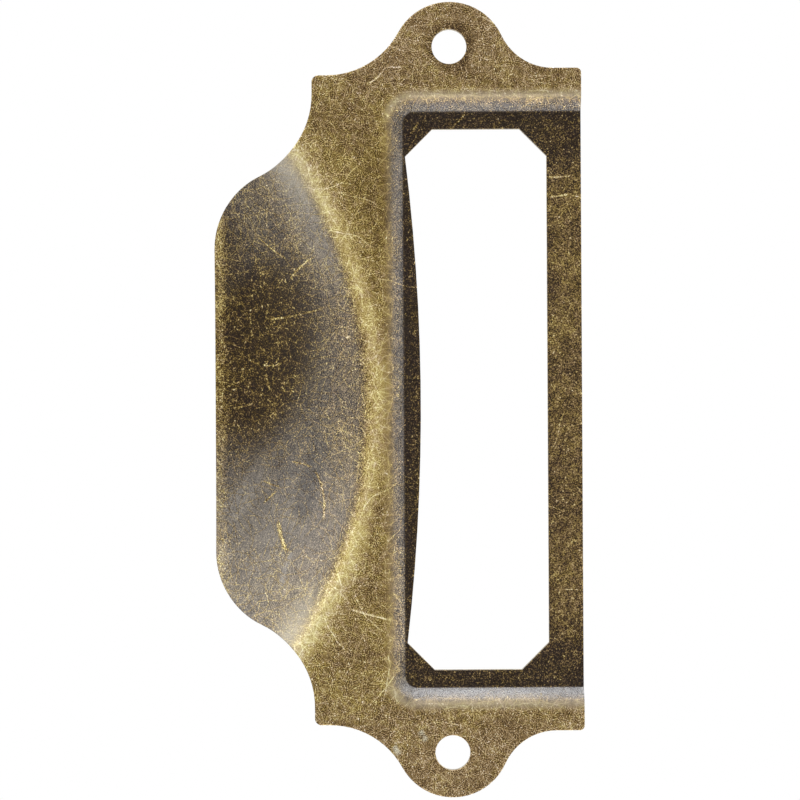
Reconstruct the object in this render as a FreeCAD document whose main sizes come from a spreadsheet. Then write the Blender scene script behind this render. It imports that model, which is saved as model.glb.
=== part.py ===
"""Label frame pull: one stamped sheet with screw ears, a card pocket, a window and a cupped finger lip.

Millimetres. X runs along the length, Z points up the drawer front and Y points into the drawer.
The flat back lies on y = 0 and the front looks along -Y. The origin is midway between the screw holes.
"""
import FreeCAD, Part
import Sketcher
import math
import os
from FreeCAD import Placement, Rotation, Vector

NODE = "label_frame_pull"

# Driving sizes: name, value (mm, or degrees for the two angles), what it measures
SIZES = [
    ("sheet_thickness", 1.0, "gauge of the sheet"),
    ("hole_spacing", 72.8, "between the screw hole centres"),
    ("hole_diameter", 3.6, "screw clearance hole"),
    ("ear_beyond_hole", 4.6, "from a hole centre out to the tip of its ear"),
    ("ear_radius", 5.95, "rounding of the ear tip"),
    ("frame_inset", 2.25, "from a hole centre in to the end of the frame"),
    ("top_rise", 13.6, "open top edge above the hole line"),
    ("top_corner_radius", 0.5, "corner at each end of the top edge"),
    ("top_side_length", 2.4, "straight end edge above the ear"),
    ("low_draw_in", 0.65, "how far forming drew the lower corners in"),
    ("low_side_length", 0.85, "straight end edge below the ear"),
    ("low_drop", 14.2, "lower corners below the hole line"),
    ("low_corner_radius", 0.7, "lower corner"),
    ("shoulder_inset", 1.9, "flat edge between a lower corner and its shoulder curve"),
    ("shoulder_radius", 8.9, "hollow curve from the frame to the lip"),
    ("lip_corner_radius", 7.9, "round corner of the lip"),
    ("lip_overhang", 10.6, "lip edge below the lower corners"),
    ("pocket_depth", 1.5, "room for the card, behind the window frame"),
    ("bevel_angle", 45.0, "slope of the pocket's sides"),
    ("side_band", 4.4, "from the end of the frame in to the foot of the bevel"),
    ("pocket_drop", 4.8, "foot of the lower bevel below the hole line"),
    ("pocket_corner_radius", 1.2, "corner at the foot of the bevel"),
    ("bend_radius", 0.25, "inside radius of the pocket's bends"),
    ("end_ledge", 1.75, "flat between the bevel's foot and the window, at each end"),
    ("low_ledge", 0.2, "the same at the lower window corners"),
    ("strip_width", 3.55, "strip between the window and the top edge"),
    ("window_chamfer", 2.8, "cut-off window corner"),
    ("window_bow", 1.5, "rise of the window's lower edge at the middle"),
    ("ridge_land", 0.3, "flat left between the lower bevel and the lip's crease"),
    ("crease_arc_radius", 45.4, "plan radius of the crease where the lip starts"),
    ("crease_bend_radius", 2.5, "inside bend radius along the crease"),
    ("lip_depth", 10.0, "how far the lip edge stands forward of the back"),
    ("lip_slope", 42.0, "steepest slope of the lip"),
    ("front_edge_radius", 0.25, "rounding that the trim die leaves along the front edge"),
    ("spare", 6.0, "extra sheet that is trimmed away"),
]

# Sizes worked out from the driving ones: name, formula
WORKED = [
    ("ear_tip", "sizes.hole_spacing / 2 + sizes.ear_beyond_hole"),
    ("frame_end", "sizes.hole_spacing / 2 - sizes.frame_inset"),
    ("low_end", "worked.frame_end - sizes.low_draw_in"),
    ("shoulder_start", "worked.low_end - sizes.shoulder_inset"),
    ("lip_drop", "sizes.low_drop + sizes.lip_overhang"),
    ("bevel_run", "sizes.pocket_depth / tan(sizes.bevel_angle)"),
    ("front_shift", "sizes.sheet_thickness * tan(sizes.bevel_angle / 2)"),
    ("front_outset", "worked.bevel_run + worked.front_shift"),
    ("foot_end", "worked.frame_end - sizes.side_band"),
    ("foot_top", "sizes.top_rise + sizes.spare"),
    ("outer_bend_radius", "sizes.bend_radius + sizes.sheet_thickness"),
    ("window_end", "worked.foot_end - sizes.end_ledge"),
    ("window_drop", "sizes.pocket_drop - sizes.low_ledge"),
    ("window_rise", "sizes.top_rise - sizes.strip_width"),
    ("crease_drop", "sizes.pocket_drop + worked.front_outset + sizes.ridge_land"),
    ("axis_drop", "worked.crease_drop + sizes.crease_arc_radius"),
]

# Sketcher counts the places on a piece of geometry from 1 and a sketch's own two axes back from -1
START, END, CENTRE = range(1, 4)
UP, ACROSS = range(-2, 0)
ORIGIN = (ACROSS, START)


def make_sizes(doc):
    """Write the driving sizes into a spreadsheet, one alias a cell."""
    sheet = doc.addObject("Spreadsheet::Sheet", "sizes")
    for row, (name, value, meaning) in enumerate(SIZES, start=1):
        sheet.set(f"A{row}", meaning)
        sheet.set(f"B{row}", str(value))
        sheet.setAlias(f"B{row}", name)
    doc.recompute()
    return sheet


def make_worked(doc):
    """Keep the worked-out sizes as variables that follow the spreadsheet."""
    worked = doc.addObject("App::VarSet", "worked")
    for name, formula in WORKED:
        worked.addProperty("App::PropertyFloat", name)
        worked.setExpression(name, formula)
        doc.recompute()
    return worked


def new_sketch(body, role, name):
    """Start a sketch on one of the body's origin planes."""
    sketch = body.newObject("Sketcher::SketchObject", name)
    plane = next(feature for feature in body.Origin.OriginFeatures if feature.Role == role)
    sketch.AttachmentSupport = (plane, [""])
    sketch.MapMode = "FlatFace"
    return sketch


def line(sketch, start, end, construction=False):
    """Draw a straight line between two sketch points."""
    return sketch.addGeometry(Part.LineSegment(Vector(*start, 0), Vector(*end, 0)), construction)


def arc(sketch, centre, radius, first, last):
    """Draw an arc counter-clockwise between two angles in degrees."""
    circle = Part.Circle(Vector(*centre, 0), Vector(0, 0, 1), radius)
    return sketch.addGeometry(Part.ArcOfCircle(circle, math.radians(first), math.radians(last)))


def circle(sketch, centre, radius):
    """Draw a full circle."""
    return sketch.addGeometry(Part.Circle(Vector(*centre, 0), Vector(0, 0, 1), radius))


def constrain(sketch, kind, *places):
    """Add a constraint that has no size."""
    sketch.addConstraint(Sketcher.Constraint(kind, *places))


def drawn_size(sketch, kind, places):
    """Measure what a dimension of this kind would read on the sketch as drawn."""
    if kind in ("Radius", "Diameter"):
        radius = sketch.Geometry[places[0]].Radius
        return radius if kind == "Radius" else 2 * radius
    if kind == "Angle":
        run = sketch.getPoint(places[0], END) - sketch.getPoint(places[0], START)
        return math.atan2(run.y, run.x)
    run = sketch.getPoint(*places[2:]) - sketch.getPoint(*places[:2])
    return run.x if kind == "DistanceX" else run.y


def dimension(sketch, name, formula, kind, *places):
    """Dimension the sketch at its drawn size, then let the formula drive that dimension."""
    index = sketch.addConstraint(Sketcher.Constraint(kind, *places, drawn_size(sketch, kind, places)))
    sketch.renameConstraint(index, name)
    sketch.setExpression(f"Constraints.{name}", formula)


def pad(body, sketch, name, length):
    """Raise a sketch along its normal, which is towards the front for this part."""
    feature = body.newObject("PartDesign::Pad", name)
    feature.Profile = sketch
    feature.setExpression("Length", length)
    return feature


def cut_through(body, sketch, name):
    """Cut a sketch right through the sheet, to both sides of its plane."""
    feature = body.newObject("PartDesign::Pocket", name)
    feature.Profile = sketch
    feature.Type = "ThroughAll"
    feature.SideType = "Symmetric"
    return feature


def draw_blank(body, sizes, worked):
    """Sketch the oversize flat sheet."""
    sketch = new_sketch(body, "XZ_Plane", "blank_outline")
    end = worked.ear_tip + sizes.spare
    top = worked.foot_top + sizes.spare
    low = -(worked.lip_drop + sizes.spare)
    upper = line(sketch, (-end, top), (end, top))
    right = line(sketch, (end, top), (end, low))
    lower = line(sketch, (end, low), (-end, low))
    left = line(sketch, (-end, low), (-end, top))
    sides = [upper, right, lower, left]
    for side, following in zip(sides, sides[1:] + sides[:1]):
        constrain(sketch, "Coincident", side, END, following, START)
    constrain(sketch, "Horizontal", lower)
    constrain(sketch, "Vertical", left)
    constrain(sketch, "Vertical", right)
    constrain(sketch, "Symmetric", upper, START, upper, END, UP)
    dimension(sketch, "half_length", "worked.ear_tip + sizes.spare", "DistanceX", *ORIGIN, upper, END)
    dimension(sketch, "above", "worked.foot_top + sizes.spare", "DistanceY", *ORIGIN, upper, END)
    dimension(sketch, "below", "worked.lip_drop + sizes.spare", "DistanceY", lower, START, *ORIGIN)
    return sketch


def draw_crease_disc(body, sizes, worked):
    """Sketch the round patch of flat sheet that the lip takes the place of."""
    sketch = new_sketch(body, "XZ_Plane", "crease_disc_outline")
    disc = circle(sketch, (0, -worked.axis_drop), sizes.crease_arc_radius)
    constrain(sketch, "PointOnObject", disc, CENTRE, UP)
    dimension(sketch, "axis_drop", "worked.axis_drop", "DistanceY", disc, CENTRE, *ORIGIN)
    dimension(sketch, "crease_arc", "sizes.crease_arc_radius", "Radius", disc)
    return sketch


def draw_lip_chain(sketch, bend_centre, bend_radius, dish_centre, dish_radius, slope, runout):
    """Draw one face of the lip from the crease down: bend, slope, dish and flat run-out."""
    steep = (math.cos(math.radians(slope)), math.sin(math.radians(slope)))
    bend_foot = (bend_centre[0] + bend_radius * steep[0], bend_centre[1] - bend_radius * steep[1])
    dish_head = (dish_centre[0] - dish_radius * steep[0], dish_centre[1] + dish_radius * steep[1])
    dish_foot = (dish_centre[0] - dish_radius, dish_centre[1])
    bend = arc(sketch, bend_centre, bend_radius, -slope, 0)
    straight = line(sketch, dish_head, bend_foot)
    dish = arc(sketch, dish_centre, dish_radius, 180 - slope, 180)
    flat = line(sketch, dish_foot, (dish_foot[0], dish_foot[1] - runout))
    constrain(sketch, "Tangent", bend, START, straight, END)
    constrain(sketch, "Tangent", straight, START, dish, START)
    constrain(sketch, "Tangent", dish, END, flat, START)
    constrain(sketch, "Vertical", flat)
    constrain(sketch, "Horizontal", bend, CENTRE, bend, END)
    return bend, straight, dish, flat


def draw_lip(body, sizes, worked):
    """Sketch the lip's ogee section, one sheet thick, with the axis it is turned about."""
    sketch = new_sketch(body, "YZ_Plane", "lip_section")
    axis = line(sketch, (0, -worked.axis_drop), (sizes.spare, -worked.axis_drop), construction=True)
    constrain(sketch, "Horizontal", axis)
    constrain(sketch, "PointOnObject", axis, START, UP)
    dimension(sketch, "axis_drop", "worked.axis_drop", "DistanceY", axis, START, *ORIGIN)
    dimension(sketch, "axis_length", "sizes.spare", "DistanceX", axis, START, axis, END)

    slope = math.radians(sizes.lip_slope)
    bend_radius = sizes.crease_bend_radius + sizes.sheet_thickness
    run = worked.lip_drop - worked.crease_drop
    both_radii = (run * math.sin(slope) - sizes.lip_depth * math.cos(slope)) / (1 - math.cos(slope))
    dish_radius = both_radii - bend_radius
    bend_centre = (-bend_radius, -worked.crease_drop)
    dish_centre = (dish_radius - sizes.lip_depth, -worked.lip_drop)
    back = draw_lip_chain(sketch, bend_centre, bend_radius, dish_centre, dish_radius,
                          sizes.lip_slope, sizes.spare)
    front = draw_lip_chain(sketch, bend_centre, bend_radius - sizes.sheet_thickness,
                           dish_centre, dish_radius + sizes.sheet_thickness,
                           sizes.lip_slope, sizes.spare)
    bend, straight, dish, flat = back
    front_bend, front_straight, front_dish, front_flat = front
    upper_end = line(sketch, (0, -worked.crease_drop), (-sizes.sheet_thickness, -worked.crease_drop))
    tip_drop = worked.lip_drop + sizes.spare
    lower_end = line(sketch, (-sizes.lip_depth, -tip_drop),
                     (-sizes.lip_depth - sizes.sheet_thickness, -tip_drop))
    constrain(sketch, "Coincident", upper_end, START, bend, END)
    constrain(sketch, "Coincident", upper_end, END, front_bend, END)
    constrain(sketch, "Coincident", lower_end, START, flat, END)
    constrain(sketch, "Coincident", lower_end, END, front_flat, END)
    constrain(sketch, "Horizontal", lower_end)
    constrain(sketch, "PointOnObject", bend, END, UP)
    constrain(sketch, "Coincident", front_bend, CENTRE, bend, CENTRE)
    constrain(sketch, "Coincident", front_dish, CENTRE, dish, CENTRE)
    constrain(sketch, "Parallel", front_straight, straight)
    dimension(sketch, "crease_drop", "worked.crease_drop", "DistanceY", bend, END, *ORIGIN)
    dimension(sketch, "bend_radius", "sizes.crease_bend_radius + sizes.sheet_thickness", "Radius", bend)
    dimension(sketch, "thickness", "sizes.sheet_thickness", "DistanceX", front_bend, END, bend, END)
    dimension(sketch, "slope", "90 - sizes.lip_slope", "Angle", straight)
    dimension(sketch, "lip_depth", "sizes.lip_depth", "DistanceX", flat, START, *ORIGIN)
    dimension(sketch, "lip_drop", "worked.lip_drop", "DistanceY", flat, START, *ORIGIN)
    dimension(sketch, "runout", "sizes.spare", "DistanceY", flat, END, flat, START)
    return sketch


def draw_pocket(body, name, sizes, worked, outset):
    """Sketch the pocket's outline at a named outset from the foot of its bevel, past the top edge."""
    sketch = new_sketch(body, "XZ_Plane", name)
    grow = getattr(worked, outset)
    end, high, low = worked.foot_end + grow, worked.foot_top + grow, -(sizes.pocket_drop + grow)
    radius = sizes.pocket_corner_radius + grow
    upper = line(sketch, (end - radius, high), (-end + radius, high))
    upper_left = arc(sketch, (-end + radius, high - radius), radius, 90, 180)
    left = line(sketch, (-end, high - radius), (-end, low + radius))
    lower_left = arc(sketch, (-end + radius, low + radius), radius, 180, 270)
    lower = line(sketch, (-end + radius, low), (end - radius, low))
    lower_right = arc(sketch, (end - radius, low + radius), radius, 270, 360)
    right = line(sketch, (end, low + radius), (end, high - radius))
    upper_right = arc(sketch, (end - radius, high - radius), radius, 0, 90)
    loop = [upper, upper_left, left, lower_left, lower, lower_right, right, upper_right]
    for side, following in zip(loop, loop[1:] + loop[:1]):
        constrain(sketch, "Tangent", side, END, following, START)
    for corner in (lower_left, lower_right, upper_right):
        constrain(sketch, "Equal", upper_left, corner)
    for side in (upper, lower):
        constrain(sketch, "Horizontal", side)
    constrain(sketch, "Vertical", left)
    constrain(sketch, "Symmetric", left, START, right, END, UP)
    outset = f"worked.{outset}"
    dimension(sketch, "end", f"worked.foot_end + {outset}", "DistanceX", *ORIGIN, right, END)
    dimension(sketch, "top", f"worked.foot_top + {outset}", "DistanceY", *ORIGIN, upper, START)
    dimension(sketch, "drop", f"sizes.pocket_drop + {outset}", "DistanceY", lower, START, *ORIGIN)
    dimension(sketch, "corner", f"sizes.pocket_corner_radius + {outset}", "Radius", upper_left)
    return sketch


def raise_pocket_front(body, sizes, worked):
    """Raise the window frame on the front, with sloping sides."""
    sketch = draw_pocket(body, "pocket_front_outline", sizes, worked, "front_outset")
    sketch.AttachmentOffset = Placement(Vector(0, 0, sizes.sheet_thickness), Rotation())
    sketch.setExpression("AttachmentOffset.Base.z", "sizes.sheet_thickness")
    feature = pad(body, sketch, "pocket_front", "sizes.pocket_depth")
    feature.setExpression("TaperAngle", "sizes.bevel_angle - 90")
    return feature


def sink_pocket_back(body, sizes, worked):
    """Sink the card pocket into the back, one sheet thickness behind its front."""
    feature = body.newObject("PartDesign::Pocket", "pocket_back")
    feature.Profile = draw_pocket(body, "pocket_back_outline", sizes, worked, "bevel_run")
    feature.Reversed = True
    feature.setExpression("Length", "sizes.pocket_depth")
    feature.setExpression("TaperAngle", "sizes.bevel_angle - 90")
    return feature


def bend_edges(shape, sizes, worked, depth, outset):
    """Name the edges of the pocket's bend line at a depth below the back and an outset from the foot."""
    names = []
    for number, edge in enumerate(shape.Edges, start=1):
        at_depth = max(abs(edge.BoundBox.YMin + depth), abs(edge.BoundBox.YMax + depth)) < 0.001
        sides = [max(abs(vertex.X) - worked.foot_end, vertex.Z - worked.foot_top,
                     -sizes.pocket_drop - vertex.Z) for vertex in edge.Vertexes]
        if at_depth and max(abs(side - outset) for side in sides) < 0.001:
            names.append(f"Edge{number}")
    return names


def fillet(body, base, names, name, radius):
    """Round the named edges of a feature."""
    feature = body.newObject("PartDesign::Fillet", name)
    feature.Base = (base, names)
    feature.setExpression("Radius", radius)
    return feature


def bend_pocket(doc, body, base, sizes, worked):
    """Give the pocket's bends their outside and inside radii."""
    depth, gauge = sizes.pocket_depth, sizes.sheet_thickness
    back_bend = bend_edges(base.Shape, sizes, worked, 0, worked.bevel_run)
    front_bend = bend_edges(base.Shape, sizes, worked, gauge + depth, worked.front_shift)
    outer = fillet(body, base, back_bend + front_bend, "outer_bends", "worked.outer_bend_radius")
    doc.recompute()
    back_foot = bend_edges(outer.Shape, sizes, worked, depth, 0)
    front_foot = bend_edges(outer.Shape, sizes, worked, gauge, worked.front_outset)
    inner = fillet(body, outer, back_foot + front_foot, "inner_bends", "sizes.bend_radius")
    doc.recompute()
    return inner


def flank_radius(sizes, ear_x, side_x, height):
    """Radius of the hollow between an upright end edge and the ear, tangent to both."""
    offset = side_x - ear_x
    return (offset ** 2 + height ** 2 - sizes.ear_radius ** 2) / (2 * (sizes.ear_radius - offset))


def draw_trim(body, sizes, worked):
    """Sketch the waste outside one half of the outline, from the top edge round the ear to the lip."""
    sketch = new_sketch(body, "XZ_Plane", "trim_outline")
    top, low, tip = sizes.top_rise, -sizes.low_drop, -worked.lip_drop
    frame_end, low_end = worked.frame_end, worked.low_end
    top_corner, low_corner = sizes.top_corner_radius, sizes.low_corner_radius
    ear_x = worked.ear_tip - sizes.ear_radius

    upper_z = top - top_corner - sizes.top_side_length
    upper_radius = flank_radius(sizes, ear_x, frame_end, upper_z)
    upper_x = frame_end + upper_radius
    upper_angle = math.degrees(math.atan2(upper_z, upper_x - ear_x))
    lower_z = low + low_corner + sizes.low_side_length
    lower_radius = flank_radius(sizes, ear_x, low_end, lower_z)
    lower_x = low_end + lower_radius
    lower_angle = math.degrees(math.atan2(-lower_z, lower_x - ear_x))

    shoulder_z = low - sizes.shoulder_radius
    corner_z = tip + sizes.lip_corner_radius
    fall = corner_z - shoulder_z
    reach = math.sqrt((sizes.shoulder_radius + sizes.lip_corner_radius) ** 2 - fall ** 2)
    corner_x = worked.shoulder_start - reach
    sweep = math.degrees(math.atan2(fall, reach))

    top_edge = line(sketch, (0, top), (frame_end - top_corner, top))
    top_round = arc(sketch, (frame_end - top_corner, top - top_corner), top_corner, 0, 90)
    top_side = line(sketch, (frame_end, top - top_corner), (frame_end, upper_z))
    upper_flank = arc(sketch, (upper_x, upper_z), upper_radius, 180, 180 + upper_angle)
    ear = arc(sketch, (ear_x, 0), sizes.ear_radius, -lower_angle, upper_angle)
    lower_flank = arc(sketch, (lower_x, lower_z), lower_radius, 180 - lower_angle, 180)
    low_side = line(sketch, (low_end, lower_z), (low_end, low + low_corner))
    low_round = arc(sketch, (low_end - low_corner, low + low_corner), low_corner, 270, 360)
    low_edge = line(sketch, (low_end - low_corner, low), (worked.shoulder_start, low))
    shoulder = arc(sketch, (worked.shoulder_start, shoulder_z), sizes.shoulder_radius, 90, 180 - sweep)
    lip_round = arc(sketch, (corner_x, corner_z), sizes.lip_corner_radius, 270, 360 - sweep)
    lip_edge = line(sketch, (corner_x, tip), (0, tip))
    smooth_joints = [
        (top_edge, END, top_round, END), (top_round, START, top_side, START),
        (top_side, END, upper_flank, START), (upper_flank, END, ear, END),
        (ear, START, lower_flank, START), (lower_flank, END, low_side, START),
        (low_side, END, low_round, END), (low_round, START, low_edge, START),
        (low_edge, END, shoulder, START), (shoulder, END, lip_round, END),
        (lip_round, START, lip_edge, START)]
    for joint in smooth_joints:
        constrain(sketch, "Tangent", *joint)
    for edge in (top_edge, low_edge, lip_edge):
        constrain(sketch, "Horizontal", edge)
    for edge in (top_side, low_side):
        constrain(sketch, "Vertical", edge)
    constrain(sketch, "PointOnObject", top_edge, START, UP)
    constrain(sketch, "PointOnObject", lip_edge, END, UP)
    constrain(sketch, "PointOnObject", ear, CENTRE, ACROSS)
    dimension(sketch, "top_rise", "sizes.top_rise", "DistanceY", *ORIGIN, top_edge, START)
    dimension(sketch, "top_corner", "sizes.top_corner_radius", "Radius", top_round)
    dimension(sketch, "frame_end", "worked.frame_end", "DistanceX", *ORIGIN, top_side, START)
    dimension(sketch, "top_side", "sizes.top_side_length", "DistanceY", top_side, END, top_side, START)
    dimension(sketch, "ear_radius", "sizes.ear_radius", "Radius", ear)
    dimension(sketch, "ear_centre", "worked.ear_tip - sizes.ear_radius", "DistanceX", *ORIGIN, ear, CENTRE)
    dimension(sketch, "low_end", "worked.low_end", "DistanceX", *ORIGIN, low_side, START)
    dimension(sketch, "low_side", "sizes.low_side_length", "DistanceY", low_side, END, low_side, START)
    dimension(sketch, "low_corner", "sizes.low_corner_radius", "Radius", low_round)
    dimension(sketch, "low_drop", "sizes.low_drop", "DistanceY", low_edge, END, *ORIGIN)
    dimension(sketch, "shoulder_start", "worked.shoulder_start", "DistanceX", *ORIGIN, low_edge, END)
    dimension(sketch, "shoulder_radius", "sizes.shoulder_radius", "Radius", shoulder)
    dimension(sketch, "lip_corner", "sizes.lip_corner_radius", "Radius", lip_round)
    dimension(sketch, "lip_drop", "worked.lip_drop", "DistanceY", lip_edge, END, *ORIGIN)

    out = worked.ear_tip + sizes.crease_arc_radius
    above = worked.foot_top + 2 * sizes.spare
    below = -(worked.axis_drop + sizes.spare)
    lower_cut = line(sketch, (0, tip), (0, below))
    under = line(sketch, (0, below), (out, below))
    outer = line(sketch, (out, below), (out, above))
    over = line(sketch, (out, above), (0, above))
    upper_cut = line(sketch, (0, above), (0, top))
    waste = [lip_edge, lower_cut, under, outer, over, upper_cut, top_edge]
    for side, following in zip(waste, waste[1:]):
        constrain(sketch, "Coincident", side, END, following, START)
    for edge in (lower_cut, outer, upper_cut):
        constrain(sketch, "Vertical", edge)
    for edge in (under, over):
        constrain(sketch, "Horizontal", edge)
    dimension(sketch, "out", "worked.ear_tip + sizes.crease_arc_radius", "DistanceX", *ORIGIN, outer, END)
    dimension(sketch, "above", "worked.foot_top + 2 * sizes.spare", "DistanceY", *ORIGIN, outer, END)
    dimension(sketch, "below", "worked.axis_drop + sizes.spare", "DistanceY", outer, START, *ORIGIN)
    return sketch


def trim_outline(doc, body, sizes, worked):
    """Trim the formed sheet to its outline, one half and then its mirror image."""
    half = cut_through(body, draw_trim(body, sizes, worked), "trim_half")
    doc.recompute()
    both = body.newObject("PartDesign::Mirrored", "trim")
    plane = next(feature for feature in body.Origin.OriginFeatures if feature.Role == "YZ_Plane")
    both.Originals = [half]
    both.MirrorPlane = (plane, [""])
    body.Tip = both
    doc.recompute()
    return both


def front_trimmed_edges(shape, gauge):
    """Name the front edges all along the trimmed outline: the walls there lie behind them."""
    names = []
    for number, edge in enumerate(shape.Edges, start=1):
        walls = [face for face in shape.ancestorsOfType(edge, Part.Face) if is_trimmed_wall(face)]
        if len(walls) != 1:
            continue
        middle = edge.valueAt((edge.FirstParameter + edge.LastParameter) / 2)
        behind = Part.Vertex(middle + Vector(0, gauge / 2, 0))
        if walls[0].distToShape(behind)[0] < 0.001:
            names.append(f"Edge{number}")
    return names


def is_trimmed_wall(face):
    """Tell a wall that the trim left, which stands square to the back."""
    surface = face.Surface
    if isinstance(surface, Part.Plane):
        return abs(surface.Axis.y) < 0.001
    return isinstance(surface, Part.Cylinder) and abs(surface.Axis.y) > 0.999


def draw_window(body, sizes, worked):
    """Sketch the card window: cut-off corners and a lower edge that bows up."""
    sketch = new_sketch(body, "XZ_Plane", "window_outline")
    end, top, low = worked.window_end, worked.window_rise, -worked.window_drop
    cut, bow = sizes.window_chamfer, sizes.window_bow
    half_chord = end - cut
    bow_radius = (half_chord ** 2 + bow ** 2) / (2 * bow)
    bow_angle = math.degrees(math.asin(half_chord / bow_radius))
    upper = line(sketch, (half_chord, top), (-half_chord, top))
    upper_left = line(sketch, (-half_chord, top), (-end, top - cut))
    left = line(sketch, (-end, top - cut), (-end, low + cut))
    lower_left = line(sketch, (-end, low + cut), (-half_chord, low))
    lower = arc(sketch, (0, low + bow - bow_radius), bow_radius, 90 - bow_angle, 90 + bow_angle)
    lower_right = line(sketch, (half_chord, low), (end, low + cut))
    right = line(sketch, (end, low + cut), (end, top - cut))
    upper_right = line(sketch, (end, top - cut), (half_chord, top))
    joints = [(upper, END, upper_left, START), (upper_left, END, left, START),
              (left, END, lower_left, START), (lower_left, END, lower, END),
              (lower, START, lower_right, START), (lower_right, END, right, START),
              (right, END, upper_right, START), (upper_right, END, upper, START)]
    for joint in joints:
        constrain(sketch, "Coincident", *joint)
    constrain(sketch, "Symmetric", upper, START, upper, END, UP)
    constrain(sketch, "Symmetric", upper_right, START, upper_left, END, UP)
    constrain(sketch, "Symmetric", lower_right, END, lower_left, START, UP)
    constrain(sketch, "Symmetric", lower_right, START, lower_left, END, UP)
    constrain(sketch, "Vertical", right)
    dimension(sketch, "end", "worked.window_end", "DistanceX", *ORIGIN, right, START)
    dimension(sketch, "rise", "worked.window_rise", "DistanceY", *ORIGIN, upper, START)
    dimension(sketch, "drop", "worked.window_drop", "DistanceY", lower, START, *ORIGIN)
    dimension(sketch, "top_cut_across", "sizes.window_chamfer", "DistanceX", upper, START, right, END)
    dimension(sketch, "top_cut_down", "sizes.window_chamfer", "DistanceY", right, END, upper, START)
    dimension(sketch, "low_cut_across", "sizes.window_chamfer", "DistanceX", lower, START, right, START)
    dimension(sketch, "low_cut_up", "sizes.window_chamfer", "DistanceY", lower, START, right, START)
    bow_formula = ("((worked.window_end - sizes.window_chamfer) ^ 2 + sizes.window_bow ^ 2)"
                   " / (2 * sizes.window_bow)")
    dimension(sketch, "bow_radius", bow_formula, "Radius", lower)
    return sketch


def draw_holes(body, sizes):
    """Sketch the two screw holes."""
    sketch = new_sketch(body, "XZ_Plane", "hole_outlines")
    right = circle(sketch, (sizes.hole_spacing / 2, 0), sizes.hole_diameter / 2)
    left = circle(sketch, (-sizes.hole_spacing / 2, 0), sizes.hole_diameter / 2)
    constrain(sketch, "Symmetric", right, CENTRE, left, CENTRE, *ORIGIN)
    constrain(sketch, "PointOnObject", right, CENTRE, ACROSS)
    constrain(sketch, "Equal", right, left)
    dimension(sketch, "spacing", "sizes.hole_spacing", "DistanceX", left, CENTRE, right, CENTRE)
    dimension(sketch, "diameter", "sizes.hole_diameter", "Diameter", right)
    return sketch


def form_lip(doc, body, sizes, worked):
    """Swap a round patch of flat sheet for the lip, turned about an upright axis below it."""
    cut_through(body, draw_crease_disc(body, sizes, worked), "crease_disc")
    doc.recompute()
    sketch = draw_lip(body, sizes, worked)
    lip = body.newObject("PartDesign::Revolution", "lip")
    lip.Profile = sketch
    lip.ReferenceAxis = (sketch, ["Axis0"])
    lip.Angle = 180
    lip.Midplane = True
    doc.recompute()
    return lip


def check(doc, shape):
    """Stop if any object of the document failed or the part is not one sound solid."""
    for item in doc.Objects:
        if "Invalid" in item.State or "Error" in item.State:
            raise RuntimeError(f"{item.Name} did not compute")
    if shape.isNull() or not shape.isValid() or len(shape.Solids) != 1:
        raise RuntimeError("the part is not one sound solid")


def build():
    """Form the sheet, trim it, cut its openings and save it."""
    doc = FreeCAD.newDocument("label_frame_pull")
    sizes = make_sizes(doc)
    worked = make_worked(doc)
    body = doc.addObject("PartDesign::Body", NODE)
    pad(body, draw_blank(body, sizes, worked), "blank", "sizes.sheet_thickness")
    doc.recompute()
    form_lip(doc, body, sizes, worked)
    raise_pocket_front(body, sizes, worked)
    doc.recompute()
    pocket = sink_pocket_back(body, sizes, worked)
    doc.recompute()
    bend_pocket(doc, body, pocket, sizes, worked)
    trimmed = trim_outline(doc, body, sizes, worked)
    rolled = front_trimmed_edges(trimmed.Shape, sizes.sheet_thickness)
    fillet(body, trimmed, rolled, "rolled_edge", "sizes.front_edge_radius")
    doc.recompute()
    cut_through(body, draw_window(body, sizes, worked), "window")
    doc.recompute()
    cut_through(body, draw_holes(body, sizes), "screw_holes")
    doc.recompute()
    check(doc, body.Shape)
    os.makedirs("parts", exist_ok=True)
    body.Shape.exportStep(f"parts/{NODE}.step")


build()
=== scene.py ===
"""Looks of the label frame pull: rubbed antique brass, seen square-on from its back, on white."""
import math
from types import SimpleNamespace

import bpy
from mathutils import Matrix, Vector

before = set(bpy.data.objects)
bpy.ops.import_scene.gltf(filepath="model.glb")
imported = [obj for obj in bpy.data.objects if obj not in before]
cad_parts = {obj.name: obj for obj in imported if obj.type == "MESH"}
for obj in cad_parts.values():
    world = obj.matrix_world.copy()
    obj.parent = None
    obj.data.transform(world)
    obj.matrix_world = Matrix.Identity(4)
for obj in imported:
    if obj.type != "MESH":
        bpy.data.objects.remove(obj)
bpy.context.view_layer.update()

NODE = "label_frame_pull"
MM = 0.001

# The photograph's view: size, scale, where the middle between the screw holes falls, and slight roll
PICTURE_PX = 800
MM_PER_PX = 0.10307
HOLES_MIDDLE_PX = (451.0, 399.6)
ROLL_DEG = 0.325
CAMERA_DISTANCE = 0.35
SENSOR_MM = 36.0

# Forms of the stamped sheet that the finish follows, in millimetres
HOLE_SPACING = 72.8
HOLE_DIAMETER = 3.6
POCKET_FOOT_END = 29.75
POCKET_FOOT_DROP = 4.8
POCKET_CORNER = 1.2
FRONT_FOOT_OUTSET = 1.9
FRONT_EDGE_OUTSET = 0.4
CREASE_ARC = 45.4
CREASE_AXIS_DROP = 52.4

# Softened cut edges and depth of the grain, in millimetres
EDGE_SOFTNESS = 0.2
GRAIN_DEPTH = 0.02

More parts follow.
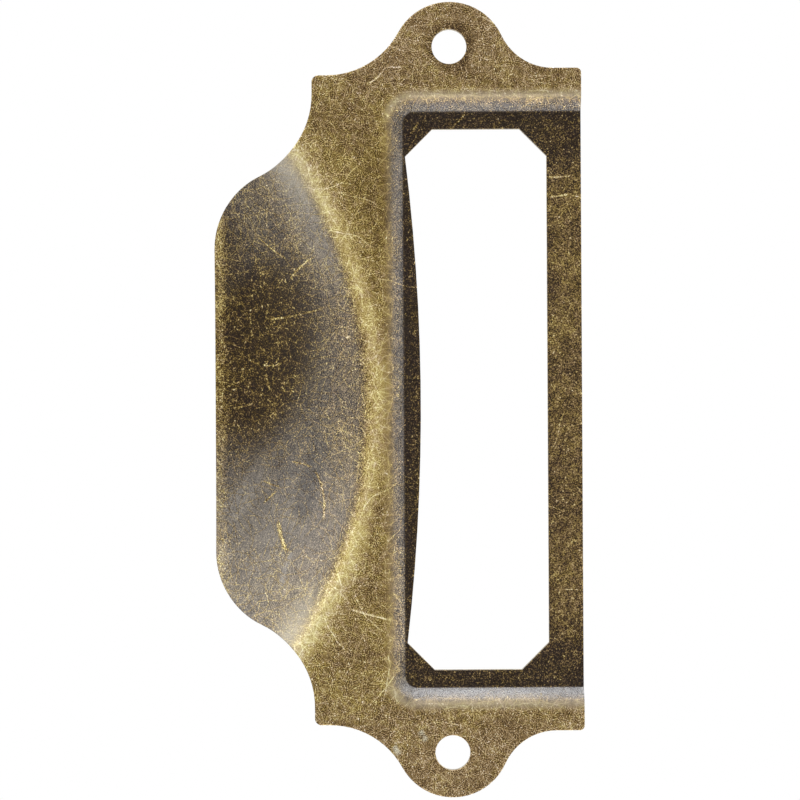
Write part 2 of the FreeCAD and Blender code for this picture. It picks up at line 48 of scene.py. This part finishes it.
# Colours of the finish and of the painted sheen, highlights and shade, as linear red, green and blue; the
# patina goes from dark to fully rubbed
PATINA_STOPS = (
    (0.0, (0.012, 0.007, 0.004)),
    (0.26, (0.082, 0.049, 0.014)),
    (0.49, (0.244, 0.166, 0.058)),
    (0.75, (0.465, 0.378, 0.185)),
    (1.0, (0.740, 0.675, 0.480)),
)
PURPLE_TINT = (1.00, 0.97, 1.22)
OLIVE_TINT = (1.00, 1.01, 0.80)
# Painted sheen: grey that stands in for the lamps' reflection on the slopes of the lip
SLOPE_SHEEN_GREY = (0.160, 0.142, 0.122)
# Painted highlight: cream beside the crease at the ends of the lip
LIP_HIGHLIGHT_CREAM = (0.380, 0.335, 0.245)
# Painted highlight: pale grey on the outer bend of the bevel at the ends
END_BEND_HIGHLIGHT = (0.190, 0.176, 0.148)
# Painted shade: dark on the outer bend of the bevel along the long sides
LONG_BEND_SHADE = (0.070, 0.056, 0.034)
# Painted sheen: grey on the bevel at the low end, for the lamps' reflection
LOW_BEVEL_SHEEN_GREY = (0.086, 0.083, 0.084)
CHALK_PALE = (0.470, 0.440, 0.340)

# Surroundings: metres, watts, degrees and linear colours
LAMP_WHITE = (0.92, 0.96, 1.0)
RIM_POWERS = (3.6, 2.3, 1.8, 2.4, 3.2)
RIM_REACH = 0.6
RIM_STEP_DEG = 45.0
RIM_SIZE = 0.4
WORLD_WHITE = (1.0, 1.0, 1.0, 1.0)
FLOOR_PALE = (0.9, 0.9, 0.9, 1.0)
FLOOR_HALF = 2.0
FLOOR_HEIGHT = -0.7

# Hairlines laid across each other: turn in degrees, and a seed that tells their cells apart
FELT_TURNS = ((15.0, 3.1), (42.0, 5.3), (75.0, 7.7), (101.0, 11.9), (138.0, 19.3), (165.0, 23.9))
SCRATCH_TURNS = ((35.0, 41.3), (80.0, 47.7), (128.0, 53.9), (160.0, 61.1))

# Single marks on the back, in millimetres: start (x, z), end (x, z), sideways bow, half width
LIGHT_MARKS = [
    ((17.3, -20.2), (14.6, -16.8), 0.1, 0.13),
    ((12.6, -16.8), (15.1, -13.6), -0.3, 0.14),
    ((8.5, -19.5), (9.8, -12.5), 0.2, 0.15),
    ((4.5, -21.4), (3.8, -19.9), 0.1, 0.14),
    ((3.8, -20.0), (4.5, -16.8), 0.4, 0.14),
    ((2.8, -19.4), (1.0, -19.0), 0.0, 0.17),
    ((1.4, -23.9), (2.5, -21.4), 0.1, 0.14),
    ((-0.8, -23.1), (-0.1, -20.2), 0.1, 0.13),
    ((-6.4, -16.8), (-7.1, -14.2), -0.1, 0.13),
    ((-6.9, -14.4), (-13.2, -13.5), -0.7, 0.20),
    ((-10.9, -19.8), (-9.4, -18.2), 0.0, 0.15),
    ((-8.4, -19.8), (-9.1, -17.8), 0.1, 0.14),
    ((-12.4, -18.2), (-16.1, -17.0), 0.2, 0.36),
    ((32.5, -8.5), (34.5, -6.4), 0.2, 0.15),
    ((34.4, -6.6), (34.4, -4.6), 0.1, 0.15),
    ((-21.4, -10.8), (-22.8, -5.8), 0.1, 0.15),
    ((23.0, 9.9), (23.2, 13.2), 0.1, 0.13),
    ((21.0, 10.2), (21.3, 12.8), 0.1, 0.14),
    ((28.4, 0.4), (29.8, 1.8), 0.1, 0.14),
    ((27.2, -4.4), (28.7, -3.2), 0.1, 0.15),
]
DARK_MARKS = [
    ((-12.6, -7.7), (-19.4, -9.1), 0.2, 0.16),
    ((-13.0, -16.2), (-3.0, -13.6), 0.3, 1.6),
]
CHALKY_MARKS = [
    ((-34.0, -3.4), (-35.2, -2.5), 0.2, 0.5),
    ((-35.6, -6.1), (-36.6, -5.4), 0.1, 0.45),
]
# Painted reflection streaks of the lamps on the lower slope of the lip, in the same columns
REFLECTION_STREAKS = [
    ((-13.0, -24.2), (-0.5, -16.0), 0.3, 1.7),
    ((-15.5, -16.6), (-19.8, -17.9), 0.1, 0.45),
]


class Signal:
    """One value of a shader tree, with arithmetic that adds the nodes it needs."""

    def __init__(self, tree, socket):
        self.tree = tree
        self.socket = socket

    def math(self, operation, *others):
        node = self.tree.nodes.new("ShaderNodeMath")
        node.operation = operation
        for place, value in zip(node.inputs, (self, *others)):
            feed(self.tree, place, value)
        return Signal(self.tree, node.outputs[0])

    def __add__(self, other):
        return self.math("ADD", other)

    def __sub__(self, other):
        return self.math("SUBTRACT", other)

    def __rsub__(self, other):
        return self.math("MULTIPLY_ADD", -1.0, other)

    def __mul__(self, other):
        return self.math("MULTIPLY", other)

    def __truediv__(self, other):
        return self.math("DIVIDE", other)

    def __abs__(self):
        return self.math("ABSOLUTE")

    __radd__ = __add__
    __rmul__ = __mul__

    def at_least(self, other):
        return self.math("MAXIMUM", other)

    def at_most(self, other):
        return self.math("MINIMUM", other)

    def root(self):
        return self.math("SQRT")

    def ramp(self, low, high):
        """Rise smoothly from 0 at low to 1 at high."""
        node = self.tree.nodes.new("ShaderNodeMapRange")
        node.interpolation_type = "SMOOTHSTEP"
        feed(self.tree, node.inputs["Value"], self)
        node.inputs["From Min"].default_value = low
        node.inputs["From Max"].default_value = high
        return Signal(self.tree, node.outputs["Result"])

    def bump_at(self, centre, width):
        """A soft hump of height 1 where the value is near the centre."""
        away = abs(self - centre) / width
        return 1.0 - away.ramp(0.0, 1.0)


def feed(tree, place, value):
    """Wire a signal, or set a number, on a node's input."""
    if isinstance(value, Signal):
        tree.links.new(value.socket, place)
    else:
        place.default_value = value


def position(tree):
    """The point on the part in millimetres, as a vector and as its three signals."""
    coordinates = tree.nodes.new("ShaderNodeTexCoord")
    scaled = tree.nodes.new("ShaderNodeVectorMath")
    scaled.operation = "SCALE"
    tree.links.new(coordinates.outputs["Object"], scaled.inputs[0])
    scaled.inputs["Scale"].default_value = 1.0 / MM
    parts = tree.nodes.new("ShaderNodeSeparateXYZ")
    tree.links.new(scaled.outputs[0], parts.inputs[0])
    return scaled.outputs[0], [Signal(tree, out) for out in parts.outputs]


def noise(tree, place, size_mm, detail, seed=0.0):
    """Noise with features of a size in millimetres."""
    mapping = tree.nodes.new("ShaderNodeMapping")
    mapping.vector_type = "TEXTURE"
    tree.links.new(place, mapping.inputs["Vector"])
    mapping.inputs["Location"].default_value = (seed, 2.7 * seed, -1.3 * seed)
    mapping.inputs["Scale"].default_value = (size_mm, size_mm, size_mm)
    texture = tree.nodes.new("ShaderNodeTexNoise")
    texture.inputs["Scale"].default_value = 1.0
    texture.inputs["Detail"].default_value = detail
    tree.links.new(mapping.outputs[0], texture.inputs["Vector"])
    return Signal(tree, texture.outputs["Fac"])


def mix_colours(tree, share, first, second, blend="MIX"):
    """Blend two colours, each a tuple or a socket, by a signal or a number."""
    node = tree.nodes.new("ShaderNodeMix")
    node.data_type = "RGBA"
    node.blend_type = blend
    feed(tree, node.inputs["Factor"], share)
    for place, colour in ((node.inputs[6], first), (node.inputs[7], second)):
        if isinstance(colour, tuple):
            place.default_value = (*colour, 1.0)
        else:
            tree.links.new(colour, place)
    return node.outputs[2]


def pocket_distance(x, z):
    """Signed distance outwards from the foot of the pocket's bevel, which is open at the top."""
    along = abs(x) - (POCKET_FOOT_END - POCKET_CORNER)
    below = -1.0 * z - (POCKET_FOOT_DROP - POCKET_CORNER)
    out_along = along.at_least(0.0)
    out_below = below.at_least(0.0)
    outside = (out_along * out_along + out_below * out_below).root()
    return outside + along.at_least(below).at_most(0.0) - POCKET_CORNER


def hole_distance(x, z):
    """Distance outwards from the edge of the nearer screw hole."""
    along = abs(x) - 0.5 * HOLE_SPACING
    return (along * along + z * z).root() - 0.5 * HOLE_DIAMETER


def facing_back(tree):
    """How far a face turns to the back: 1 on the back, -1 on the front, 0 on a cut edge of the sheet."""
    geometry = tree.nodes.new("ShaderNodeNewGeometry")
    parts = tree.nodes.new("ShaderNodeSeparateXYZ")
    tree.links.new(geometry.outputs["True Normal"], parts.inputs[0])
    return Signal(tree, parts.outputs["Y"])


def dish_distance(x, z):
    """Distance into the lip from the crease."""
    from_axis = z + CREASE_AXIS_DROP
    return CREASE_ARC - (x * x + from_axis * from_axis).root()


def oval_distance(x, z, centre, reach, lean):
    """Distance from the middle of a leaning oval, as a share of its reach."""
    along = (x - centre[0]) / reach[0]
    across = (z - centre[1] - lean * (x - centre[0])) / reach[1]
    return (along * along + across * across).root()


def warped(tree, place, size_mm, reach_mm):
    """The point pushed about by noise of a size, so that lines drawn on it wander."""
    texture = tree.nodes.new("ShaderNodeTexNoise")
    texture.inputs["Scale"].default_value = 1.0 / size_mm
    texture.inputs["Detail"].default_value = 1.0
    tree.links.new(place, texture.inputs["Vector"])
    centred = tree.nodes.new("ShaderNodeVectorMath")
    centred.operation = "SUBTRACT"
    tree.links.new(texture.outputs["Color"], centred.inputs[0])
    centred.inputs[1].default_value = (0.5, 0.5, 0.5)
    pushed = tree.nodes.new("ShaderNodeVectorMath")
    pushed.operation = "MULTIPLY_ADD"
    tree.links.new(centred.outputs[0], pushed.inputs[0])
    pushed.inputs[1].default_value = (reach_mm, reach_mm, reach_mm)
    tree.links.new(place, pushed.inputs[2])
    return pushed.outputs[0]


def stroke(x, z, start, end, bow, width):
    """One mark from a point to another, bowed sideways, that thins out at its ends."""
    run = math.hypot(end[0] - start[0], end[1] - start[1])
    step_x = (end[0] - start[0]) / run
    step_z = (end[1] - start[1]) / run
    from_x = x - start[0]
    from_z = z - start[1]
    along = (from_x * step_x + from_z * step_z) / run
    across = from_z * step_x - from_x * step_z
    line = across - 4.0 * bow * along * (1.0 - along)
    thin = 1.0 - abs(line).ramp(0.2 * width, width)
    return thin * along.ramp(0.0, 0.15) * (1.0 - along.ramp(0.75, 1.0))


def highest(signals):
    """The greatest of several signals at each point."""
    top = signals[0]
    for signal in signals[1:]:
        top = top.at_least(signal)
    return top


def strokes(x, z, marks):
    """All the marks of a list."""
    return highest([stroke(x, z, *mark) for mark in marks])


def hairs(tree, place, length_mm, gap_mm, width_mm, turn_deg, seed, share):
    """Thin curved scratches, in some cells of a turned grid, each at its own slant and bow."""
    mapping = tree.nodes.new("ShaderNodeMapping")
    mapping.vector_type = "TEXTURE"
    tree.links.new(place, mapping.inputs["Vector"])
    mapping.inputs["Location"].default_value = (seed, 0.0, -1.7 * seed)
    mapping.inputs["Rotation"].default_value = (0.0, math.radians(turn_deg), 0.0)
    mapping.inputs["Scale"].default_value = (length_mm, 1.0, gap_mm)
    parts = tree.nodes.new("ShaderNodeSeparateXYZ")
    tree.links.new(mapping.outputs[0], parts.inputs[0])
    along = Signal(tree, parts.outputs["X"])
    across = Signal(tree, parts.outputs["Z"])
    cell = tree.nodes.new("ShaderNodeCombineXYZ")
    feed(tree, cell.inputs["X"], along.math("FLOOR"))
    feed(tree, cell.inputs["Z"], across.math("FLOOR"))
    feed(tree, cell.inputs["Y"], seed)
    chance = tree.nodes.new("ShaderNodeTexWhiteNoise")
    tree.links.new(cell.outputs[0], chance.inputs["Vector"])
    draws = tree.nodes.new("ShaderNodeSeparateColor")
    tree.links.new(chance.outputs["Color"], draws.inputs[0])
    slant, bow, lot = [Signal(tree, out) - 0.5 for out in draws.outputs]
    along = along.math("FRACT") - 0.5
    across = across.math("FRACT") - 0.5
    line = across - 0.7 * slant * along - 1.6 * bow * (along * along - 0.06)
    thin = 1.0 - abs(line).ramp(0.3 * width_mm / gap_mm, width_mm / gap_mm)
    ends = 1.0 - abs(along).ramp(0.28, 0.48)
    return thin * ends * lot.ramp(0.5 - share, 0.55 - share)


def crossed_hairs(tree, place, turns, length_mm, gap_mm, width_mm, share):
    """Scratches laid in several directions."""
    return highest([hairs(tree, place, length_mm, gap_mm, width_mm, turn, seed, share)
                    for turn, seed in turns])


def wear_patterns(tree, place):
    """The patterns that cover the whole finish: grain, mottling, hairlines and longer scratches."""
    bent = warped(tree, place, size_mm=2.5, reach_mm=0.9)
    wear = SimpleNamespace()
    wear.grain = noise(tree, place, 0.11, detail=2.0) - 0.5
    wear.mottle = noise(tree, place, 0.9, detail=3.0, seed=83.0) - 0.5
    wear.blotches = noise(tree, place, 4.0, detail=3.0, seed=31.0) - 0.5
    wear.hue = noise(tree, place, 0.5, detail=3.0, seed=97.0) - 0.5
    wear.specks = noise(tree, place, 0.3, detail=0.0, seed=71.0).ramp(0.62, 0.72)
    wear.dust = noise(tree, place, 0.24, detail=0.0, seed=113.0).ramp(0.74, 0.79)
    wear.felt = crossed_hairs(tree, bent, FELT_TURNS, length_mm=3.4, gap_mm=0.8, width_mm=0.06, share=0.6)
    wear.scratches = crossed_hairs(tree, bent, SCRATCH_TURNS, length_mm=6.0, gap_mm=4.0, width_mm=0.07,
                                   share=0.12)
    return wear


def back_forms(x, z):
    """Where the forms of the back lie, from 0 to 1.

    The ranges are millimetres: outwards from the pocket's foot, into the lip from the crease,
    or along x and z.
    """
    pocket = pocket_distance(x, z)
    dish = dish_distance(x, z)
    forms = SimpleNamespace()
    forms.bevel = pocket.ramp(0.0, 0.15) * (1.0 - pocket.ramp(0.4, 2.0))
    at_ends = abs(x).ramp(28.0, 30.5)
    # Painted highlights along the outer bend of the bevel, strongest at its ends
    forms.bend = pocket.bump_at(1.8, 0.9) * (0.4 + 0.6 * at_ends)
    forms.end_bend = pocket.bump_at(1.7, 0.8) * at_ends
    # Painted shade on the bevel's outer bend along the long sides
    forms.long_bend = pocket.bump_at(1.5, 0.9) * (1.0 - at_ends)
    forms.recess = 1.0 - pocket.ramp(0.0, 0.15)
    # Painted shade at the foot of the bevel, where patina also gathers
    forms.foot = pocket.bump_at(-0.2, 0.8)
    forms.strip = forms.recess * z.ramp(8.5, 11.0) * (1.0 - abs(x).ramp(20.0, 29.0))
    # The crease is brighter: rubbed brass with a painted highlight; the band moves with x as the highlight
    # does
    forms.crest = (dish - 0.35 * x.ramp(4.0, 16.0)).bump_at(0.6, 1.8)
    # Painted highlight on the lip beside the crease, towards its ends
    forms.glow = dish.bump_at(2.2, 2.6) * abs(x).ramp(17.0, 25.0)
    # fade and crest_ends widen the painted highlight of the crease towards the ends
    forms.fade = dish.bump_at(-0.9, 1.6) * abs(x).ramp(8.0, 18.0)
    forms.crest_ends = forms.crest * abs(x).ramp(8.0, 18.0)
    forms.slope = dish.ramp(0.8, 2.8)
    forms.hollow = dish.ramp(3.0, 8.0) * (1.0 - 0.3 * dish.ramp(10.0, 17.0))
    # A darker oval on the lip: darker patina with specks, and painted shade where the lip mirrors darker
    # surroundings
    forms.pool = 1.0 - oval_distance(x, z, (5.0, -20.5), (12.0, 7.5), 0.15).ramp(0.55, 1.15)
    forms.plain = dish.ramp(8.0, 13.0) * x.ramp(-9.0, -3.0)
    forms.low_slope = dish.ramp(0.8, 2.4) * (1.0 - x.ramp(-14.0, -1.0))
    forms.high_slope = dish.ramp(1.0, 2.8) * x.ramp(8.0, 18.0) * (1.0 - dish.ramp(2.8, 6.5))
    # Painted highlight towards the ends of the lip
    forms.lip_ends = dish.ramp(2.0, 6.0) * abs(x).ramp(10.0, 20.0)
    forms.neck = 1.0 - oval_distance(x, z, (19.5, -8.3), (9.0, 3.6), 0.1).ramp(0.5, 1.1)
    forms.rim = (-1.0 * z).ramp(23.2, 24.4)
    forms.hole_edge = x.ramp(-10.0, 30.0) * (1.0 - hole_distance(x, z).ramp(0.1, 1.3))
    # Painted sheen on the bevel at the low end
    forms.polish = forms.bevel * (-1.0 * x).ramp(28.0, 30.0)
    forms.fold = pocket.bump_at(1.6, 1.0)
    forms.ears = abs(x).ramp(29.0, 36.0)
    forms.low_end = (-1.0 * x).ramp(30.0, 32.0)
    return forms


def back_tone(x, forms, wear):
    """How far the patina is rubbed off the back, from dark at 0 to bright at 1, with painted highlights,
    sheen and shade laid into the tone.
    """
    # Painted light gradient: the -0.0007 * x term makes the back brighter towards low x
    tone = 0.42 + 0.33 * forms.crest + 0.12 * forms.crest_ends + 0.12 * forms.fade - 0.0007 * x
    # The bevels get a darker patina; it is less dark towards low x, where the lighter tone is painted sheen
    bevel_dark = 0.38 - 0.12 * (-1.0 * x).ramp(8.0, 22.0)
    # The bend term is a painted highlight along the bevel's outer bend
    tone = tone + 0.27 * forms.bend - bevel_dark * forms.bevel
    # The foot term is painted shade at the foot of the bevel, with patina gathered there
    tone = tone - 0.53 * forms.recess + 0.40 * forms.strip + 0.03 * forms.ears - 0.14 * forms.foot
    tone = tone - 0.18 * forms.hole_edge + 0.40 * forms.rim - 0.05 * forms.neck - 0.04 * forms.low_end
    # The pool term is painted shade over darker patina, and the lip_ends term a painted highlight
    tone = tone - 0.24 * forms.slope - 0.22 * forms.hollow - 0.09 * forms.pool + 0.16 * forms.lip_ends
    calm = 1.6 * forms.crest + 2.3 * forms.fold + 0.4 * forms.bevel
    calm = calm + 0.2 * forms.slope + 0.9 * forms.strip
    tone = tone + wear.grain * (3.1 - calm)
    tone = tone + 0.3 * wear.blotches + 0.6 * wear.mottle + wear.scratches * (0.42 - 0.12 * forms.slope)
    felt_share = 0.26 - 0.12 * forms.recess - 0.12 * forms.bevel + 0.06 * forms.slope
    tone = tone + wear.felt * felt_share
    specked = forms.pool.at_least(0.6 * (forms.recess - forms.strip))
    return tone + wear.specks * (0.3 + 1.5 * wear.mottle) * specked


def front_forms(x, z):
    """Where the forms of the front lie, in the same measures as on the back."""
    pocket = pocket_distance(x, z)
    dish = dish_distance(x, z)
    forms = SimpleNamespace()
    forms.face = 1.0 - pocket.ramp(0.2, 0.6)
    forms.edge = pocket.bump_at(FRONT_EDGE_OUTSET, 0.6)
    forms.foot = pocket.bump_at(FRONT_FOOT_OUTSET, 1.1)
    forms.valley = dish.bump_at(1.0, 2.6)
    forms.bulge = dish.ramp(3.5, 11.0)
    forms.hem = (-1.0 * z).ramp(22.8, 24.5)
    return forms


def front_tone(forms, wear):
    """How far the patina is rubbed off the front."""
    tone = 0.46 + 0.12 * forms.face + 0.2 * forms.edge - 0.36 * forms.foot
    tone = tone - 0.3 * forms.valley + 0.12 * forms.bulge + 0.15 * forms.hem
    tone = tone + wear.grain * (2.6 - 0.8 * forms.edge)
    return tone + 0.45 * wear.blotches + 0.6 * wear.mottle + 0.4 * wear.scratches + 0.22 * wear.felt


def patina_colour(tree, tone, hue):
    """Dark brown to pale brass by tone, tinted from purple-brown to olive by hue."""
    ramp = tree.nodes.new("ShaderNodeValToRGB")
    while len(ramp.color_ramp.elements) < len(PATINA_STOPS):
        ramp.color_ramp.elements.new(0.5)
    for element, (spot, colour) in zip(ramp.color_ramp.elements, PATINA_STOPS):
        element.position = spot
        element.color = (*colour, 1.0)
    feed(tree, ramp.inputs[0], 0.75 * tone)
    tint = mix_colours(tree, hue, PURPLE_TINT, OLIVE_TINT)
    return mix_colours(tree, 1.0, ramp.outputs["Color"], tint, blend="MULTIPLY")


def back_marks(x, z, on_back):
    """The single marks of the back, and the painted reflection streaks of the lip's lower slope."""
    marks = SimpleNamespace()
    marks.light = on_back * strokes(x, z, LIGHT_MARKS)
    marks.dark = on_back * strokes(x, z, DARK_MARKS)
    marks.chalk = on_back * strokes(x, z, CHALKY_MARKS)
    # Painted reflections, not marks on the metal
    marks.streak = strokes(x, z, REFLECTION_STREAKS)
    return marks


def tint_back(tree, colour, on_back, back, wear, marks):
    """Lay painted light over the patina: a grey painted sheen on the lip's slopes, painted highlights and
    shade on the bends, a grey painted sheen on the bevel at the low end, and the chalky marks.
    """
    # Painted sheen: grey mixed into the colour of the lip's slopes stands in for the lamps' reflection,
    # with painted reflection streaks on the lower slope
    slope_sheen = back.low_slope * (0.42 + 0.30 * marks.streak - 0.15 * marks.dark) + 0.55 * back.high_slope
    uneven = 1.0 + 2.0 * wear.grain + 0.8 * wear.mottle - 0.5 * wear.felt - 0.6 * marks.light
    slope_sheen = on_back * slope_sheen * uneven
    colour = mix_colours(tree, slope_sheen, colour, SLOPE_SHEEN_GREY)
    # Painted highlight: cream mixed in beside the crease at the lip's ends
    colour = mix_colours(tree, 0.45 * on_back * back.glow, colour, LIP_HIGHLIGHT_CREAM)
    # Painted highlight on the bevel's outer bend at the ends
    colour = mix_colours(tree, 0.45 * on_back * back.end_bend, colour, END_BEND_HIGHLIGHT)
    # Painted shade on the bevel's outer bend along the long sides
    colour = mix_colours(tree, 0.4 * on_back * back.long_bend, colour, LONG_BEND_SHADE)
    # Painted sheen: grey mixed into the bevel at the low end stands in for the lamps' reflection
    polish = on_back * back.polish * (0.7 + 2.0 * wear.grain)
    colour = mix_colours(tree, polish, colour, LOW_BEVEL_SHEEN_GREY)
    chalk = marks.chalk * (0.35 + 2.5 * wear.mottle + 3.0 * wear.grain)
    return mix_colours(tree, chalk, colour, CHALK_PALE)


def lacquer_weight(on_back, back, front, wear, light):
    """How much lacquer is left: most on the bevels and the slopes of the lip, scuffed by the grain."""
    dull = back.pool.at_least(0.7 * back.plain)
    back_gloss = back.slope * (1.0 - 0.9 * dull) * (1.0 - 0.5 * back.low_slope)
    back_gloss = back.bevel.at_least(back_gloss).at_least(0.3 * back.crest).at_least(0.2 * back.recess)
    front_gloss = 0.3 + 0.3 * front.valley.at_least(front.foot)
    lacquer = on_back * back_gloss + (1.0 - on_back) * front_gloss
    scuffs = 0.8 + 4.2 * wear.grain + 0.5 * wear.mottle - 0.3 * wear.felt
    return 0.1 + lacquer * (scuffs - 0.6 * light)


def grained_normal(tree, grain):
    """The direction of the surface, with softened edges and fine grain."""
    soft_edges = tree.nodes.new("ShaderNodeBevel")
    soft_edges.samples = 6
    soft_edges.inputs["Radius"].default_value = EDGE_SOFTNESS * MM
    bump = tree.nodes.new("ShaderNodeBump")
    bump.inputs["Strength"].default_value = 0.7
    bump.inputs["Distance"].default_value = GRAIN_DEPTH * MM
    feed(tree, bump.inputs["Height"], grain)
    tree.links.new(soft_edges.outputs[0], bump.inputs["Normal"])
    return bump.outputs[0]


def antique_brass():
    """Brass under a dark patina that is rubbed off on the high places, with fine scratches, and painted
    highlights, sheen and shade in its colour.
    """
    material = bpy.data.materials.new("antique_brass")
    material.use_nodes = True
    tree = material.node_tree
    shader = tree.nodes["Principled BSDF"]
    place, (x, _, z) = position(tree)
    facing = facing_back(tree)
    on_back = facing.ramp(-0.1, 0.1)
    on_wall = 1.0 - abs(facing).ramp(0.1, 0.4)
    wear = wear_patterns(tree, place)
    back = back_forms(x, z)
    front = front_forms(x, z)
    marks = back_marks(x, z, on_back)

    tone = front_tone(front, wear) * (1.0 - on_back) + back_tone(x, back, wear) * on_back
    # Painted reflection: the cut edges are made lighter for the white surroundings they mirror; the dust
    # specks are real
    tone = tone + 0.3 * on_wall + 0.4 * wear.dust
    tone = tone + marks.light * (0.48 + 0.5 * wear.grain) - 0.16 * marks.dark
    hue = 0.60 + 2.4 * wear.hue + 1.5 * wear.blotches
    hue = hue + on_back * (0.2 * back.neck + 0.2 * back.crest - 0.5 * back.ears + 0.25 * back.hollow)
    colour = tint_back(tree, patina_colour(tree, tone, hue), on_back, back, wear, marks)
    tree.links.new(colour, shader.inputs["Base Color"])
    shader.inputs["Metallic"].default_value = 1.0
    feed(tree, shader.inputs["Roughness"], 0.44 - 0.08 * tone)
    feed(tree, shader.inputs["Coat Weight"], lacquer_weight(on_back, back, front, wear, marks.light))
    shader.inputs["Coat Roughness"].default_value = 0.35
    tree.links.new(grained_normal(tree, wear.grain), shader.inputs["Normal"])
    return material


def dress(node):
    """Give the stamped sheet its finish."""
    node.data.materials.clear()
    node.data.materials.append(antique_brass())


def add_camera():
    """Look square-on at the back, with the part's length upright in the picture as photographed."""
    roll = math.radians(ROLL_DEG)
    right = Vector((-math.sin(roll), 0.0, math.cos(roll)))
    up = Vector((math.cos(roll), 0.0, math.sin(roll)))
    toward = Vector((0.0, 1.0, 0.0))
    across_px = 0.5 * PICTURE_PX - HOLES_MIDDLE_PX[0]
    down_px = 0.5 * PICTURE_PX - HOLES_MIDDLE_PX[1]
    aim = (right * across_px - up * down_px) * MM_PER_PX * MM
    camera = bpy.data.cameras.new("photo_camera")
    camera.sensor_width = SENSOR_MM
    camera.lens = SENSOR_MM * CAMERA_DISTANCE / (PICTURE_PX * MM_PER_PX * MM)
    holder = bpy.data.objects.new("photo_camera", camera)
    bpy.context.scene.collection.objects.link(holder)
    turn = Matrix((right, up, toward)).transposed().to_4x4()
    holder.matrix_world = Matrix.Translation(aim + toward * CAMERA_DISTANCE) @ turn
    bpy.context.scene.camera = holder


def add_softbox(name, place, size, power):
    """A square soft lamp that faces the part."""
    lamp = bpy.data.lights.new(name, "AREA")
    lamp.size = size
    lamp.energy = power
    lamp.color = LAMP_WHITE
    holder = bpy.data.objects.new(name, lamp)
    holder.location = place
    holder.rotation_euler = (-Vector(place)).to_track_quat("-Z", "Y").to_euler()
    bpy.context.scene.collection.objects.link(holder)


def add_lamps():
    """Soft lamps behind the part, around its rim and in front of it."""
    add_softbox("softbox_key", (0.45, 0.47, -0.28), 0.5, 3.7)
    add_softbox("softbox_fill", (-0.42, 0.45, -0.10), 0.4, 1.6)
    add_softbox("softbox_side", (0.0, 0.45, 0.42), 0.4, 1.0)
    add_softbox("softbox_low", (0.26, 0.08, -0.58), 0.34, 0.6)
    for number, power in enumerate(RIM_POWERS):
        angle = math.radians(RIM_STEP_DEG * number)
        place = (RIM_REACH * math.cos(angle), 0.0, RIM_REACH * math.sin(angle))
        add_softbox(f"softbox_rim_{number}", place, RIM_SIZE, power)
    add_softbox("softbox_front", (0.3, -0.6, 0.3), 0.34, 1.0)


def add_floor():
    """A pale floor well below the part."""
    mesh = bpy.data.meshes.new("floor")
    signs = ((-1, -1), (1, -1), (1, 1), (-1, 1))
    corners = [(FLOOR_HALF * across, FLOOR_HALF * along, FLOOR_HEIGHT) for across, along in signs]
    mesh.from_pydata(corners, [], [(0, 1, 2, 3)])
    floor = bpy.data.objects.new("floor", mesh)
    bpy.context.scene.collection.objects.link(floor)
    paint = bpy.data.materials.new("pale_floor")
    paint.use_nodes = True
    paint.node_tree.nodes["Principled BSDF"].inputs["Base Color"].default_value = FLOOR_PALE
    mesh.materials.append(paint)


def add_stage():
    """White surroundings, soft lamps and the floor."""
    world = bpy.data.worlds.new("white_tent")
    world.use_nodes = True
    world.node_tree.nodes["Background"].inputs["Color"].default_value = WORLD_WHITE
    bpy.context.scene.world = world
    add_lamps()
    add_floor()


bpy.context.scene.view_settings.view_transform = "Standard"
dress(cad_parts[NODE])
add_camera()
add_stage()
